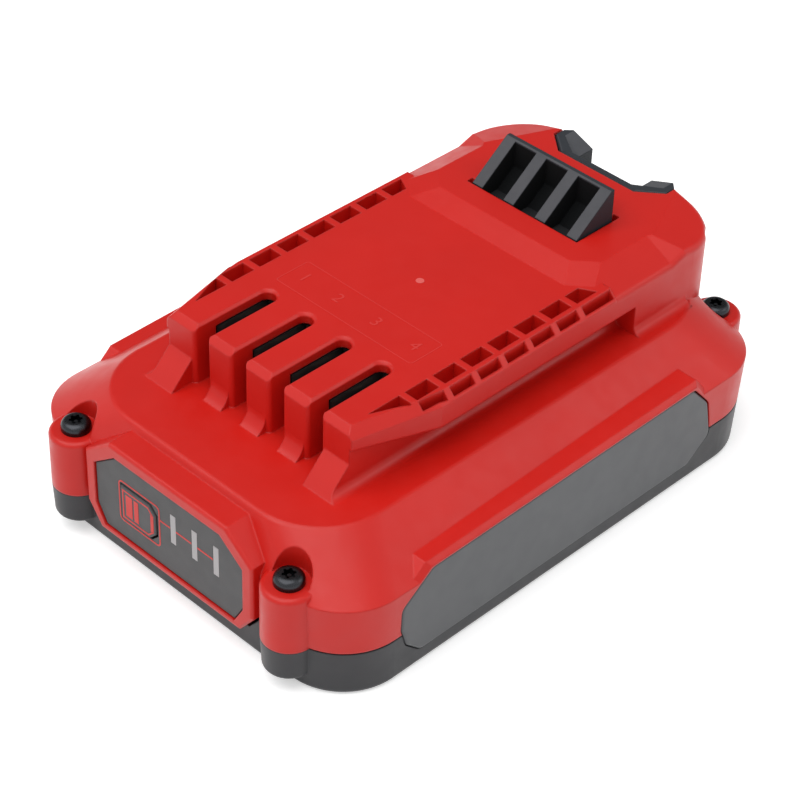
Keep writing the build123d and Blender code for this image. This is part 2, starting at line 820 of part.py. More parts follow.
def upper_housing():
    """The upper shell: shoulder, deck, rail tower, rear housing, gauge frame and brows."""
    shell = case_form() & upper_zone()
    shell += both_sides(brow())
    shell += frame_body()
    for x, y in screw_places:
        shell += upper_column(x, y)
    web = upright_prism(rail_plan(web_half_width, web_half_width, -tower_front, groove_end),
                        deck_level - shell_wall / 2, rail_underside + rail_lead_in)
    shell += web
    shell += rail_tower()
    under_rail = block((web_half_width, rail_half_width + overrun), (housing_front - overrun, groove_end),
                       (wall_top - overrun, rail_underside))
    shell += housing_form(0, housing_front, wall_top) - both_sides(under_rail)
    toe = -tower_front - outer_foot_reach
    foot = hollow_foot(web_half_width, toe, groove_end)
    foot -= above_slope((0, toe, deck_level), (0, -1), outer_foot_height, outer_foot_reach)
    shell += both_sides(foot)
    shell += both_sides(hollow_foot(rail_half_width, groove_end, housing_foot_end))
    for foot in finger_feet():
        shell += foot
    for cutter in slot_cutters():
        shell -= cutter
    shell -= rail_pockets()
    jackets = [rod(x, y, split_level, deck_level, pocket_radius + pocket_wall) for x, y in screw_places]
    core = case_room(0)
    for jacket in jackets:
        core -= jacket
    shell -= core
    room = tower_room()
    for wall in slot_walls():
        room -= wall
    shell -= room
    for x, y in screw_places:
        shell -= rod(x, y, seat_level, tower_top, pocket_radius)
    for bore in screw_bores(0, tower_top):
        shell -= bore
    shell -= both_sides(side_panel_body(seat_clearance, side_panel_seat, side_panel_face + overrun))
    for cutter in gauge_openings() + latch_windows():
        shell -= cutter
    for boss in gauge_bosses():
        shell += boss
    return shell - tongue(seat_clearance)


def lower_housing():
    """The tray: floor, walls, screw columns and ribs between the cells."""
    shell = case_form() & lower_zone()
    for x, y in screw_places:
        shell += tray_column(x, y)
    core = case_room(0)
    for x, y in screw_places:
        core -= rod(x, y, floor_wall, split_level, column_radius)
    shell -= core
    length = floor_rib_half_length
    for i in range(cell_count - 1):
        y = (cell_places[i] + cell_places[i + 1]) / 2
        shell += block((-length, length), (y - floor_rib_width / 2, y + floor_rib_width / 2),
                       (floor_wall / 2, floor_wall + floor_rib_height))
    shell += tongue(0)
    for bore in screw_bores(seat_level - shank_length - bore_clearance, split_level):
        shell -= bore
    shell -= both_sides(side_panel_body(seat_clearance, side_panel_seat, side_panel_face + overrun))
    return shell - long_prism(frame_outline(frame_gap), -frame_face - overrun, -frame_flap_rear + frame_gap)


def side_panel():
    """A smooth side panel with softened edges, on the right."""
    panel = side_panel_body(0, side_panel_seat, side_panel_face)
    rim = [e for e in panel.edges() if abs(e.center().X - side_panel_face) < near]
    return fillet(rim, side_panel_edge_radius)


def wedge():
    """The ribbed wedge that locks into the tool: a ramp with deep recesses between four ribs."""
    ramp = [(wedge_toe, housing_top), (wedge_rear - wedge_lip, wedge_top), (wedge_rear, wedge_top),
            (wedge_rear, carrier_top), (wedge_toe, carrier_top)]
    body = cross_prism(ramp, -wedge_half_width, wedge_half_width)
    run = wedge_rear - wedge_lip - wedge_toe
    climb = (wedge_top - housing_top) / run
    depth = wedge_recess_depth * math.hypot(1, climb)
    head = wedge_rear - wedge_lip - wedge_band / math.hypot(1, climb)
    roof = wedge_top + overrun
    floor = carrier_top + seat_clearance
    bend = wedge_toe + (floor + depth - housing_top) / climb
    cut = [(wedge_toe - overrun, roof), (wedge_toe - overrun, floor), (bend, floor),
           (head, housing_top + (head - wedge_toe) * climb - depth), (head, roof)]
    bay = (2 * wedge_half_width - rib_count * rib_width) / (rib_count - 1)
    for i in range(rib_count - 1):
        x = -wedge_half_width + rib_width + (rib_width + bay) * i
        body -= cross_prism(cut, x, x + bay)
    return body


def notch_cutter():
    """The notch for the thumb, with scooped sides above it."""
    rear = tab_rear + overrun
    notch = block((-notch_half_width, notch_half_width), (notch_front, rear),
                  (notch_floor, tab_top + overrun))
    notch = fillet([e for e in notch.edges() if abs(e.center().Y - notch_front) < near
                    and abs(e.center().X) > notch_half_width - near], notch_corner_radius)
    wide = notch_scoop_half_width
    sides = long_prism([(-wide, tab_top + overrun), (-wide, tab_top), (-notch_half_width, notch_scoop_level),
                        (notch_half_width, notch_scoop_level), (wide, tab_top), (wide, tab_top + overrun)],
                       notch_front, rear)
    plan = [(-notch_half_width, notch_front), (notch_half_width, notch_front), (wide, notch_scoop_front),
            (wide, rear), (-wide, rear), (-wide, notch_scoop_front)]
    return notch + (sides & upright_prism(plan, notch_floor, tab_top + overrun))


def latch():
    """Wedge, carrier plate, thumb tab with its notch, and the skirt that closes the rear window."""
    body = block((-carrier_half_width, carrier_half_width), (carrier_front, skirt_rear),
                 (carrier_bottom, carrier_top))
    body += wedge()
    tab = upright_prism(tab_outline(0), tab_floor, tab_top)
    tab = chamfer([e for e in tab.edges() if abs(e.center().Y - tab_rear) < near
                   and abs(e.center().X) > tab_half_width - near], tab_corner)
    tab = fillet([e for e in edges_at_level(tab, tab_top) if e.center().Y < tab_side_y], tab_edge_radius)
    tab -= notch_cutter()
    body += tab
    body += block((-carrier_half_width, carrier_half_width), (skirt_rear - skirt_thickness, skirt_rear),
                  (skirt_bottom, carrier_top))
    for x in (-spring_x, spring_x):
        body += rod(x, spring_y, carrier_bottom - spring_post_height, carrier_bottom, spring_post_radius)
    return body


def latch_spring(x):
    """One coil between the holder arm and the carrier, with its ends ground flat."""
    bottom, top = arm_top, carrier_bottom
    rise = top - bottom - spring_wire
    path = Helix(pitch=rise / spring_turns, height=rise, radius=spring_radius)
    start = Plane(origin=path @ 0, z_dir=path % 0)
    coil = sweep(start * Circle(spring_wire / 2), path=path)
    return Pos(x, spring_y, bottom + spring_wire / 2) * coil


def gauge_panel():
    """The charge gauge's cover plate, with the button opening and the slots for the light bars."""
    plate = long_prism(panel_pocket_outline(0), -panel_face, -gauge_seat)
    rim = [e for e in plate.edges() if abs(e.center().Y + panel_face) < near]
    plate = fillet(rim, gauge_edge_radius)
    plate -= long_prism(button_outline(button_gap), -panel_face - overrun, -gauge_seat)
    for x in light_places:
        plate -= block((x - light_width / 2, x + light_width / 2), (-panel_face - overrun, -gauge_seat),
                       (light_bottom, light_top))
    return plate


def button_outline(grow):
    left, right = button_left - grow, button_right + grow
    bottom, top = button_bottom - grow, button_top + grow
    cut = button_corner
    return [(left, bottom), (right - cut, bottom), (right, bottom + cut), (right, top - cut),
            (right - cut, top), (left, top)]


def gauge_button():
    """The push button: face, flange behind the panel and stem towards the switch."""
    face = -panel_face - button_stand
    body = long_prism(button_outline(0), face, -gauge_seat + button_travel)
    body = fillet([e for e in body.edges() if abs(e.center().Y - face) < near], gauge_edge_radius)
    flange_front = -gauge_seat + slide_clearance
    body += long_prism(button_outline(flange_margin), flange_front, flange_front + flange_thickness)
    x, z = button_centre()
    return body + rod_along_y(x, z, flange_front, plunger_tip() - plunger_gap, button_stem_radius)


def button_centre():
    return (button_left + button_right) / 2, (button_bottom + button_top) / 2


def plunger_tip():
    return -gauge_board_face - switch_height - plunger_height


def gauge_light_pipes():
    """Three clear bars on one bridge that carry light from the board to the cover plate."""
    middle = (light_bottom + light_top) / 2
    front = -panel_face
    rear = -gauge_board_face - led_height - led_gap
    bridge_front = -gauge_seat + seat_clearance
    body = block((light_places[0], light_places[-1]), (bridge_front, bridge_front + light_bridge_thickness),
                 (middle - light_bridge_height / 2, middle + light_bridge_height / 2))
    fit = seat_clearance / 2
    for x in light_places:
        body += block((x - light_width / 2 + fit, x + light_width / 2 - fit), (front, rear),
                      (light_bottom + fit, light_top - fit))
    return body


def gauge_board():
    """The small board behind the gauge, on two pegs."""
    middle = (gauge_board_bottom + gauge_board_top) / 2
    board = block((-gauge_board_half_width, gauge_board_half_width), (-gauge_board_face, -gauge_board_rear),
                  (gauge_board_bottom, gauge_board_top))
    for x in (-gauge_board_screw_x, gauge_board_screw_x):
        board -= rod_along_y(x, middle, -gauge_board_face, -gauge_board_rear,
                             gauge_peg_radius + bore_clearance)
    return board


def gauge_leds():
    middle = (light_bottom + light_top) / 2
    half = led_size / 2
    return [block((x - half, x + half), (-gauge_board_face - led_height, -gauge_board_face),
                  (middle - half, middle + half)) for x in light_places]


def gauge_switch_body():
    x, z = button_centre()
    half = switch_size / 2
    front = -gauge_board_face - switch_height
    body = block((x - half, x + half), (front, -gauge_board_face), (z - half, z + half))
    depth = plunger_height + button_travel + bore_clearance
    return body - rod_along_y(x, z, front, front + depth, plunger_radius + bore_clearance)


def gauge_switch_plunger():
    x, z = button_centre()
    tip = plunger_tip()
    return rod_along_y(x, z, tip, tip + 2 * plunger_height, plunger_radius)


def gauge_cable():
    """Flat cable from the gauge board over the first cell to the main board."""
    left, right = ribbon_x - ribbon_width / 2, ribbon_x + ribbon_width / 2
    front = -gauge_board_rear
    rear = board_front + ribbon_width / 2
    top = ribbon_level + ribbon_thickness
    drop = gauge_board_top - ribbon_width / 2
    body = block((left, right), (front, front + ribbon_thickness), (drop, top))
    body += block((left, right), (front, rear), (ribbon_level, top))
    return body + block((left, right), (rear - ribbon_thickness, rear), (ribbon_level, board_level))


def cell(place, positive_side):
    """A cylindrical cell across the pack, with its raised end towards the given side."""
    y = cell_places[place]
    half = cell_length / 2
    body = rod_along_x(y, cell_axis_level, -half, half, cell_radius)
    body = fillet([e for e in body.edges() if abs(abs(e.center().X) - half) < near], cell_rim_radius)
    tip = positive_side * half
    button = rod_along_x(y, cell_axis_level, min(tip, tip + positive_side * cell_button_height),
                         max(tip, tip + positive_side * cell_button_height), cell_button_radius)
    return body + button


def cell_rings():
    """A card ring round the raised end of each cell."""
    rings = []
    for place, y in enumerate(cell_places):
        side = 1 if place % 2 == 0 else -1
        inner = side * cell_length / 2
        outer = side * (cell_length / 2 + ring_thickness)
        x0, x1 = min(inner, outer), max(inner, outer)
        ring = rod_along_x(y, cell_axis_level, x0, x1, ring_outer_radius)
        rings.append(ring - rod_along_x(y, cell_axis_level, x0, x1, ring_inner_radius))
    return rings


def strap_outline(y0, y1):
    """Outline of a strip in (y, z) from one cell's centre to the other place, with overlaps."""
    low, high = min(y0, y1), max(y0, y1)
    return (low - strip_overlap, high + strip_overlap)


def strip(y0, y1, tail_y, base_places):
    """A welded strip on the right: plate over the cell ends, dished pads and a tail to the board."""
    inner = cell_length / 2 + cell_button_height
    outer = inner + strip_thickness
    low, high = strap_outline(y0, y1)
    body = block((inner, outer), (low, high),
                 (cell_axis_level - strip_half_height, cell_axis_level + strip_half_height))
    for y in base_places:
        body += rod_along_x(y, cell_axis_level, cell_length / 2, inner, cell_base_radius)
    tail_top = holder_high_top + tail_gap + strip_thickness
    tail_y0, tail_y1 = tail_y - tail_width / 2, tail_y + tail_width / 2
    body += block((inner, outer), (tail_y0, tail_y1), (cell_axis_level, tail_top))
    body += block((tail_riser_x, outer), (tail_y0, tail_y1), (tail_top - strip_thickness, tail_top))
    return body + block((tail_riser_x, tail_riser_x + strip_thickness), (tail_y0, tail_y1),
                        (tail_top - strip_thickness, board_level))


def valley(i):
    return (cell_places[i] + cell_places[i + 1]) / 2


def strips():
    """Every strip as name, shape and side, in the order of the series connection."""
    c = cell_places
    right = [("lead_positive", strip(valley(3) + strip_overlap, c[4], valley(3), [])),
             ("link_1_2", strip(c[0], c[1], valley(0), [c[1]])),
             ("link_3_4", strip(c[2], c[3], valley(2), [c[3]]))]
    left = [("lead_negative", strip(c[0], valley(0) - strip_overlap, valley(0), [c[0]])),
            ("link_2_3", strip(c[1], c[2], valley(1), [c[2]])),
            ("link_4_5", strip(c[3], c[4], valley(3), [c[4]]))]
    return right + [(name, mirror(shape, about=Plane.YZ)) for name, shape in left]


def strip_pockets(spans):
    """Room in a holder for the strips and their tails, on the right."""
    inner = cell_length / 2 + cell_button_height
    gap = strip_gap
    pockets = []
    for y0, y1, tail_y in spans:
        low, high = strap_outline(y0, y1)
        pockets.append(block((inner, holder_outer_x + overrun), (low - gap, high + gap),
                             (cell_axis_level - strip_half_height - gap,
                              cell_axis_level + strip_half_height + gap)))
        pockets.append(block((inner, holder_outer_x + overrun),
                             (tail_y - tail_width / 2 - gap, tail_y + tail_width / 2 + gap),
                             (cell_axis_level, holder_high_top + overrun)))
    return pockets


def cell_holder(side):
    """A holder for one end of the cells: sockets, strip pockets, board posts and a spring arm."""
    c = cell_places
    if side > 0:
        spans = [(valley(3) + strip_overlap, c[4], valley(3)), (c[0], c[1], valley(0)),
                 (c[2], c[3], valley(2))]
    else:
        spans = [(c[0], valley(0) - strip_overlap, valley(0)), (c[1], c[2], valley(1)),
                 (c[3], c[4], valley(3))]
    low = floor_wall + holder_floor_gap
    y_range = (-holder_half_length, holder_half_length)
    body = block((holder_inner_x, holder_step_x), y_range, (low, holder_high_top))
    body += block((holder_inner_x, holder_outer_x), y_range, (low, holder_low_top))
    body &= case_room(seat_clearance)
    stop = cell_length / 2 + ring_thickness + holder_stop_gap
    for y in c:
        body -= rod_along_x(y, cell_axis_level, holder_inner_x - overrun, stop,
                            cell_radius + holder_grip_clearance)
        body -= rod_along_x(y, cell_axis_level, stop - near, cell_length / 2 + cell_button_height,
                            holder_hole_radius)
    for pocket in strip_pockets(spans):
        body -= pocket
    for share in valley_shares:
        y = share * cell_pitch
        body += block((valley_rib_inner_x, holder_inner_x + holder_rim),
                      (y - valley_rib_width / 2, y + valley_rib_width / 2),
                      (valley_rib_bottom, holder_high_top))
        post = rod(post_x, y, holder_high_top - holder_rim, board_level, post_radius)
        body += post
    front_y, rear_y = (share * cell_pitch for share in valley_shares)
    body += rod(post_x, front_y, board_level, board_level + peg_height, peg_radius)
    body -= rod(post_x, rear_y, board_top - board_screw_length - bore_clearance, board_level,
                board_screw_radius + bore_clearance)
    body += block((arm_inner_x, arm_outer_x), (arm_front, arm_rear), (arm_bottom, arm_top))
    for y0, y1 in ((arm_front, arm_front + arm_leg), (arm_rear - arm_leg, arm_rear)):
        body += block((holder_inner_x, arm_outer_x), (y0, y1), (holder_high_top - tail_gap, arm_top))
    body += rod(spring_x, spring_y, arm_top, arm_top + spring_post_height, spring_post_radius)
    return body


def insulator():
    """Insulating film on the outer face of the right holder."""
    return block((holder_outer_x, holder_outer_x + insulator_thickness),
                 (-insulator_half_length, insulator_half_length), (insulator_bottom, insulator_top))


def main_board():
    """The battery management board, on pegs in front and screws behind."""
    board = block((-board_half_width, board_half_width), (board_front, board_rear), (board_level, board_top))
    for x in (-post_x, post_x):
        for share, radius in zip(valley_shares, (peg_radius, board_screw_radius)):
            board -= rod(x, share * cell_pitch, board_level, board_top, radius + bore_clearance)
    return board


def board_screws():
    y = valley_shares[1] * cell_pitch
    screws = []
    for x in (-post_x, post_x):
        head = rod(x, y, board_top, board_top + board_screw_head_height, board_screw_head_radius)
        head = fillet(edges_at_level(head, board_top + board_screw_head_height), board_screw_head_height / 3)
        screws.append(head + rod(x, y, board_top - board_screw_length, board_top, board_screw_radius))
    return screws


def board_mosfets():
    parts = []
    for i in range(mosfet_count):
        x = mosfet_pitch * (i - (mosfet_count - 1) / 2)
        half = mosfet_size / 2
        parts.append(block((x - half, x + half), (mosfet_row_y - half, mosfet_row_y + half),
                           (board_top, board_top + mosfet_height)))
    return parts


def board_controller():
    """The controller chip with its two rows of legs."""
    half = controller_size / 2
    x, y = controller_x, controller_y
    body = block((x - half, x + half), (y - half, y + half),
                 (board_top + controller_lift, board_top + controller_height))
    pitch = controller_size / controller_legs
    for i in range(controller_legs):
        leg_y = y - half + pitch * (i + 0.5)
        for side in (-1, 1):
            inner, outer = sorted((x + side * (half - controller_leg), x + side * (half + controller_leg)))
            body += block((inner, outer), (leg_y - pitch / 4, leg_y + pitch / 4),
                          (board_top, board_top + 2 * controller_lift))
    return body


def board_capacitors():
    cans = []
    for x in (-capacitor_spacing, capacitor_spacing):
        can = rod(x, capacitor_y, board_top, board_top + capacitor_height, capacitor_radius)
        cans.append(fillet(edges_at_level(can, board_top + capacitor_height), capacitor_radius / 6))
    return cans


def board_fuse():
    return block((fuse_x - fuse_length / 2, fuse_x + fuse_length / 2),
                 (fuse_y - fuse_width / 2, fuse_y + fuse_width / 2), (board_top, board_top + fuse_height))


def terminal_block():
    """The moulded block under the slots, one open channel for each terminal clip."""
    body = block((-block_half_width, block_half_width), (block_front, block_rear), (board_top, block_top))
    floor = board_top + block_floor
    for x in slot_places:
        body -= block((x - slot_width / 2, x + slot_width / 2),
                      (block_front - overrun, block_rear - block_floor), (floor, block_top + overrun))
    body += block((-block_half_width, block_half_width), (block_front, board_front - bore_clearance),
                  (board_level, board_top))
    for x in (-post_x, post_x):
        y = valley_shares[0] * cell_pitch
        body -= rod(x, y, board_top, floor, peg_radius + bore_clearance)
    return body


def terminal_clip(x):
    """A clip of two sprung leaves on a base strap, standing in its channel."""
    floor = board_top + block_floor
    front = block_front + block_floor
    stations = [front + clip_length * share for share in clip_station_shares]
    offsets = [clip_width / 2 - clip_pinch * share for share in clip_pinch_shares]
    outer = list(zip(offsets, stations))
    inner = [(dx - clip_thickness, y) for dx, y in reversed(outer)]
    leaf = upright_prism([(x + dx, y) for dx, y in outer + inner], floor, floor + clip_height)
    far = upright_prism([(x - dx, y) for dx, y in outer + inner], floor, floor + clip_height)
    rear = stations[-1]
    base = block((x - clip_width / 2, x + clip_width / 2), (stations[-2], rear),
                 (floor, floor + clip_thickness))
    return leaf + far + base


def thermistor():
    """A bead on the middle cell with two wires up to the board."""
    z = cell_crown + thermistor_radius
    half = thermistor_length / 2
    bead = rod_along_x(0, z, thermistor_x - half, thermistor_x + half, thermistor_radius)
    for x in (thermistor_x - half / 2, thermistor_x + half / 2):
        bead += rod(x, 0, z, board_level, thermistor_lead_radius)
    return bead


def foam_pads():
    """Pads between the first cell and the deck."""
    y = cell_places[0]
    pad = block((foam_inner_x, foam_outer_x), (y - foam_width / 2, y + foam_width / 2),
                (cell_crown + cell_floor_gap, deck_level - shell_wall))
    return [pad, mirror(pad, about=Plane.YZ)]


def case_screw(x, y):
    """A pan-head screw with a six-lobed recess and a centre pin."""
    top = seat_level + head_height
    head = rod(x, y, seat_level, top, head_radius)
    head = fillet(edges_at_level(head, top), head_edge_radius)
    recess = rod(x, y, top - recess_depth, top, recess_radius * recess_core_share)
    for i in range(recess_lobes):
        angle = 2 * math.pi * i / recess_lobes
        offset = recess_radius - recess_lobe_radius
        recess += rod(x + offset * math.cos(angle), y + offset * math.sin(angle),
                      top - recess_depth, top, recess_lobe_radius)
    head -= recess
    head += rod(x, y, top - recess_depth, top - recess_depth / 3, recess_pin_radius)
    return head + rod(x, y, seat_level - shank_length, seat_level, shank_radius)


def save(node, shape):
    solids = shape if isinstance(shape, list) else shape.solids()
    export_step(solids[0] if len(solids) == 1 else Compound(list(solids)), "parts/" + node + ".step")


def main():
    os.makedirs("parts", exist_ok=True)
    right_panel, right_film = side_panel(), insulator()
    save("upper_housing", upper_housing())
    save("lower_housing", lower_housing())
    save("side_panel_right", right_panel)
    save("side_panel_left", mirror(right_panel, about=Plane.YZ))
    save("latch", latch())
    save("latch_springs", [latch_spring(-spring_x), latch_spring(spring_x)])
    save("gauge_panel", gauge_panel())
    save("gauge_button", gauge_button())
    save("gauge_light_pipes", gauge_light_pipes())
    save("gauge_board", gauge_board())
    save("gauge_leds", gauge_leds())
    save("gauge_switch_body", gauge_switch_body())
    save("gauge_switch_plunger", gauge_switch_plunger())
    save("gauge_cable", gauge_cable())
    for place in range(cell_count):
        save("cell_" + str(place + 1), cell(place, 1 if place % 2 == 0 else -1))
    save("cell_rings", cell_rings())
    save("cell_holder_right", cell_holder(1))
    save("cell_holder_left", mirror(cell_holder(-1), about=Plane.YZ))
    for name, shape in strips():
        save(name, shape)
    save("insulator_right", right_film)
    save("insulator_left", mirror(right_film, about=Plane.YZ))
    save("main_board", main_board())
    save("board_screws", board_screws())
    save("board_mosfets", board_mosfets())
    save("board_controller", board_controller())
    save("board_capacitors", board_capacitors())
    save("board_fuse", board_fuse())
    save("terminal_block", terminal_block())
    for i, x in enumerate(slot_places):
        save("terminal_clip_" + str(i + 1), terminal_clip(x))
    save("thermistor", thermistor())
    save("foam_pads", foam_pads())
    save("case_screws", [case_screw(x, y) for x, y in screw_places])


main()
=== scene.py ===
"""Battery pack for a cordless tool: finishes, printed marks, springs, floor, light and camera."""
import math

import bmesh
import bpy
from mathutils import Matrix, Vector


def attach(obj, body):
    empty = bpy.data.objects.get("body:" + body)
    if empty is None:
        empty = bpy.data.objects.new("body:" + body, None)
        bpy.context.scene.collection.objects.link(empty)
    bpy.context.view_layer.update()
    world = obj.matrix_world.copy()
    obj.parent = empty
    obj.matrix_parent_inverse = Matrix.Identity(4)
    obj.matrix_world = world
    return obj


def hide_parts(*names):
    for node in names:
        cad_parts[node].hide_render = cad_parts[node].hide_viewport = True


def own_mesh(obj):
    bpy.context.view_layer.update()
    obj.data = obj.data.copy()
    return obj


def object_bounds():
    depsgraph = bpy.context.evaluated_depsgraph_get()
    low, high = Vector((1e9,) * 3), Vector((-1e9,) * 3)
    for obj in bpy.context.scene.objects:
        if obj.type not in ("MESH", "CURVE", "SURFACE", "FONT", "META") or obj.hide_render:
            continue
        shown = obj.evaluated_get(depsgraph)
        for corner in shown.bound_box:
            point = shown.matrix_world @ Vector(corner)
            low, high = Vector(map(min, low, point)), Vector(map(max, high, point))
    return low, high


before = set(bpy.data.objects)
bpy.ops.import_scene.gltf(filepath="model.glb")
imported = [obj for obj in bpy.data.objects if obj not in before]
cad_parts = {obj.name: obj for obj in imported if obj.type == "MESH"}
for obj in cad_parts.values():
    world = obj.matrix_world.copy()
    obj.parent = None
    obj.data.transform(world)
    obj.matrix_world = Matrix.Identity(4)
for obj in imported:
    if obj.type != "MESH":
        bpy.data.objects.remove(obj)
cad_low, cad_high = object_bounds()

MM = 0.001

# Planes of the CAD model that carry printed or moulded marks, in millimetres
TOWER_TOP = 39.1
PANEL_FACE = 55.8
BUTTON_FACE = 56.1

# The gauge's print: a frame round the button, and leaders from it through the light bars
BUTTON = (-11.7, -2.9, 11.5, 18.7)
INK_HEIGHT = 0.04
INK_LINE = 0.3
FRAME_MARGIN = 0.8
FRAME_WIDE_MARGIN = 0.9
FRAME_CORNER = 1.0
LIGHT_PLACES = (1.3, 6.6, 11.9)
LIGHT_WIDTH = 1.45
LEADER_MIDDLE = 16.85
LEADER_HALF_WIDTH = 0.16

# The button's battery sign, inwards from the button's sides and ends
SIGN_SIDE_MARGIN = 0.45
SIGN_END_MARGIN = 0.5
SIGN_CORNER = 1.3
CHARGE_BARS = ((1.3, 2.95), (3.4, 4.5))
CHARGE_BAR_MARGIN = 1.3
POLE_BAR = (1.2, 0.75)
POLE_BAR_MARGIN = 1.7

# The moulded field beside the slots, with a digit for each terminal
LABEL_FIELD = (-16.4, 16.4, -16.4, -8.6)
LABEL_CORNER = 0.6
LABEL_LINE = 0.14
LABEL_HEIGHT = 0.05
DIGIT_PLACES = (-13.2, -5.0, 4.2, 13.4)
DIGIT_MIDDLE = -12.4
DIGIT_SIZE = 3.5
DIGIT_HALF_HEIGHT = 0.03
DIGIT_CURVE_STEPS = 4

# The mark that the mould's gate leaves on the tower's top
GATE_PLACE = (0.9, 1.5)
GATE_RADIUS = 0.75
GATE_RIM = 0.3
GATE_HEIGHT = 0.08

# Planes of the latch's ramp, in millimetres
WEDGE_TOE = 28.7
WEDGE_REAR = 37.3
WEDGE_TOP = 47.1
HOUSING_TOP = 40.6
BAY_HALF_WIDTH = 10.2

# The latch springs, between the holder's arm and the latch's carrier, in millimetres
SPRING_PLACES = (-10.0, 10.0)
SPRING_Y = 37.2
SPRING_LOW = 23.1
SPRING_HIGH = 36.25
SPRING_RADIUS = 2.4
SPRING_WIRE = 0.55
SPRING_TURNS = 6
TURN_STEPS = 32
WIRE_SIDES = 12

# Colours, and the gloss of moulded plastic
RED = (0.575, 0.011, 0.0065)
CHARCOAL = (0.090, 0.093, 0.098)
TRAY_GREY = (0.029, 0.029, 0.032)
LATCH_SKIN = (0.028, 0.032, 0.038)
# Painted shade: the near-black of the latch's bays, where the recesses between the ribs fall into shadow
LATCH_BAY_SHADE = (0.0055, 0.006, 0.0066)
# Lighter grey painted on the faces in the latch ramp's plane and on the thumb scoops' sloped faces
LATCH_PALE_GREY = (0.086, 0.088, 0.096)
PLASTIC_GLOSS = 0.36
LATCH_GLOSS = 0.12

# Sizes of the patterns in the finishes, as repeats per metre
CLOUDS = 55.0
GLOSS_PATCHES = 320.0
PALE_GREY_GRAIN = 420.0
LATCH_GRAIN = 9000.0

# The studio: the background's strength for the light, and in its dark corner
ROOM_LIGHT = 0.52
CORNER_LIGHT = 0.25
DARK_CORNER = (-0.54, 0.57, 0.62)
CORNER_EDGE = (0.5, 0.93)
FLOOR_SIZE = 3.0
FLOOR_DROP = 0.05
FLOOR_WHITE = 0.90
FLOOR_GLOW = 0.45

# Softboxes: place, size and power, in metres and watts
LAMP_AIM = (0, 0, 0.02)
SOFTBOXES = {
    "overhead_softbox": ((-0.1, -0.3, 1.0), (1.2, 1.2), 9.6),
    "rear_softbox": ((0.56, 0.51, 0.49), (0.4, 0.3), 0.6),
}

# The camera: angles in degrees, lengths in millimetres
CAMERA_AZIMUTH = 43.724
CAMERA_ELEVATION = 38.496
CAMERA_ROLL = 2.026
CAMERA_TARGET = (-0.054, -1.43, 13.91)
CAMERA_DISTANCE = 444.6
CAMERA_LENS = 112.35
CAMERA_SENSOR = 36.0


class Finish:
    """A node material that reads Object coordinates."""

    def __init__(self, name):
        self.material = bpy.data.materials.new(name)
        self.material.use_nodes = True
        self.nodes = self.material.node_tree.nodes
        self.links = self.material.node_tree.links
        self.shader = self.nodes["Principled BSDF"]
        self.coords = self.nodes.new("ShaderNodeTexCoord")

    def link(self, source, target):
        self.links.new(source, target)

    def paint(self, source, socket):
        self.link(source, self.shader.inputs[socket])

    def noise(self, scale, detail=2.0, roughness=0.5):
        node = self.nodes.new("ShaderNodeTexNoise")
        node.inputs["Scale"].default_value = scale
        node.inputs["Detail"].default_value = detail
        node.inputs["Roughness"].default_value = roughness
        self.link(self.coords.outputs["Object"], node.inputs["Vector"])
        return node.outputs["Fac"]

    def ramp(self, value, low, high):
        """Stretches a value between two limits to the whole range from 0 to 1."""
        node = self.nodes.new("ShaderNodeMapRange")
        node.inputs["From Min"].default_value = low
        node.inputs["From Max"].default_value = high
        self.link(value, node.inputs["Value"])
        return node.outputs["Result"]

    def span(self, value, low, high):
        """Maps a value from 0..1 to low..high."""
        node = self.nodes.new("ShaderNodeMapRange")
        node.inputs["To Min"].default_value = low
        node.inputs["To Max"].default_value = high
        self.link(value, node.inputs["Value"])
        return node.outputs["Result"]

    def math(self, operation, first, second):
        node = self.nodes.new("ShaderNodeMath")
        node.operation = operation
        for socket, value in zip(node.inputs, (first, second)):
            if isinstance(value, (int, float)):
                socket.default_value = value
            else:
                self.link(value, socket)
        return node.outputs["Value"]

    def mix(self, factor, first, second):
        node = self.nodes.new("ShaderNodeMix")
        node.data_type = "RGBA"
        sockets = [s for s in node.inputs if s.type == "RGBA"]
        for socket, value in zip(sockets, (first, second)):
            if isinstance(value, tuple):
                socket.default_value = (*value, 1.0)
            else:
                self.link(value, socket)
        self.link(factor, node.inputs["Factor"])
        return [s for s in node.outputs if s.type == "RGBA"][0]

    def bump(self, height, strength, distance, normal=None):
        node = self.nodes.new("ShaderNodeBump")
        node.inputs["Strength"].default_value = strength
        node.inputs["Distance"].default_value = distance
        self.link(height, node.inputs["Height"])
        if normal is not None:
            self.link(normal, node.inputs["Normal"])
        return node.outputs["Normal"]

    def soft_edges(self, radius):
        node = self.nodes.new("ShaderNodeBevel")
        node.samples = 6
        node.inputs["Radius"].default_value = radius
        return node.outputs["Normal"]

    def along(self, source, direction):
        """The part of a coordinate output that lies along a direction."""
        node = self.nodes.new("ShaderNodeVectorMath")
        node.operation = "DOT_PRODUCT"
        self.link(self.coords.outputs[source], node.inputs[0])
        node.inputs[1].default_value = Vector(direction).normalized()
        return node.outputs["Value"]

    def place_along(self, direction):
        """The distance of a point from the origin along a direction, in metres."""
        return self.along("Object", direction)

    def facing(self, direction):
        """How far the surface faces a direction, from -1 to 1."""
        return self.along("Normal", direction)


